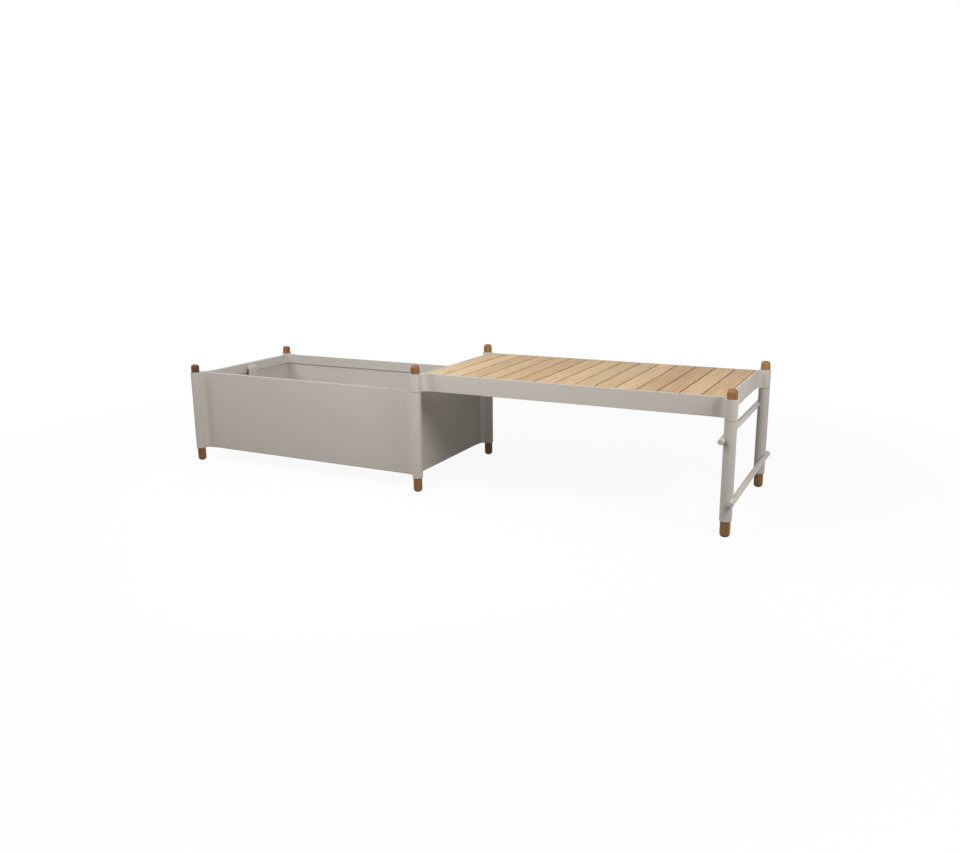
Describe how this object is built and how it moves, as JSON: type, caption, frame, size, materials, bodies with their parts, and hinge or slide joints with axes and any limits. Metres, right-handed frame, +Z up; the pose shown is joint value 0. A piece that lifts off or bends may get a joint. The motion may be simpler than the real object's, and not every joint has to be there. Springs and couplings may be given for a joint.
{
  "type": "bench with planter",
  "caption": "Long low outdoor bench: a slatted teak seat on rung legs that shares its posts with an open rectangular planter box, with teak caps and feet.",
  "frame": {"origin": "on the ground, in the middle of the footprint", "axes": "+X along the length from the planter to the bench's free end, +Y to the back, +Z up; the planter stands at -X"},
  "size_m": [2.2699, 0.686, 0.482],
  "materials": {
    "paint": "fine matt warm grey powder coat",
    "liner_paint": "matt warm grey powder coat",
    "bare_metal": "satin mill finish",
    "teak_slat": "pale sanded teak, untreated",
    "teak_dowel": "warm oiled teak"
  },
  "bodies": {
    "root": {"planter_post_front_left": "paint", "foot_planter_front_left": "teak_dowel", "planter_post_front_right": "paint", "foot_planter_front_right": "teak_dowel", "planter_post_back_right": "paint", "foot_planter_back_right": "teak_dowel", "planter_post_back_left": "paint", "foot_planter_back_left": "teak_dowel", "post_cap_front_left": "teak_dowel", "post_cap_back_left": "teak_dowel", "planter_wall_front": "paint", "planter_wall_right": "paint", "planter_wall_back": "paint", "planter_wall_left": "paint", "base_bearer_1": "bare_metal", "base_bearer_2": "bare_metal", "base_bearer_3": "bare_metal", "planter_liner": "liner_paint", "planter_rim": "paint", "end_strap_left": "paint", "end_strap_right": "paint", "bench_corner_front_left": "paint", "bench_cap_front_left": "teak_dowel", "spigot_front_left": "bare_metal", "bench_corner_front_right": "paint", "bench_cap_front_right": "teak_dowel", "spigot_front_right": "bare_metal", "bench_corner_back_right": "paint", "bench_cap_back_right": "teak_dowel", "spigot_back_right": "bare_metal", "bench_corner_back_left": "paint", "bench_cap_back_left": "teak_dowel", "spigot_back_left": "bare_metal", "bench_rail_front": "paint", "bench_rail_right": "paint", "bench_rail_back": "paint", "bench_rail_left": "paint", "seat_bearer_front": "bare_metal", "seat_bearer_back": "bare_metal", "slat_01": "teak_slat", "slat_02": "teak_slat", "slat_03": "teak_slat", "slat_04": "teak_slat", "slat_05": "teak_slat", "slat_06": "teak_slat", "slat_07": "teak_slat", "slat_08": "teak_slat", "slat_09": "teak_slat", "slat_10": "teak_slat", "slat_11": "teak_slat", "slat_12": "teak_slat", "slat_13": "teak_slat", "slat_14": "teak_slat", "slat_15": "teak_slat", "leg_front": "paint", "foot_leg_front": "teak_dowel", "leg_back": "paint", "foot_leg_back": "teak_dowel", "rung_upper": "paint", "rung_lower": "paint"}
  },
  "joints": []
}
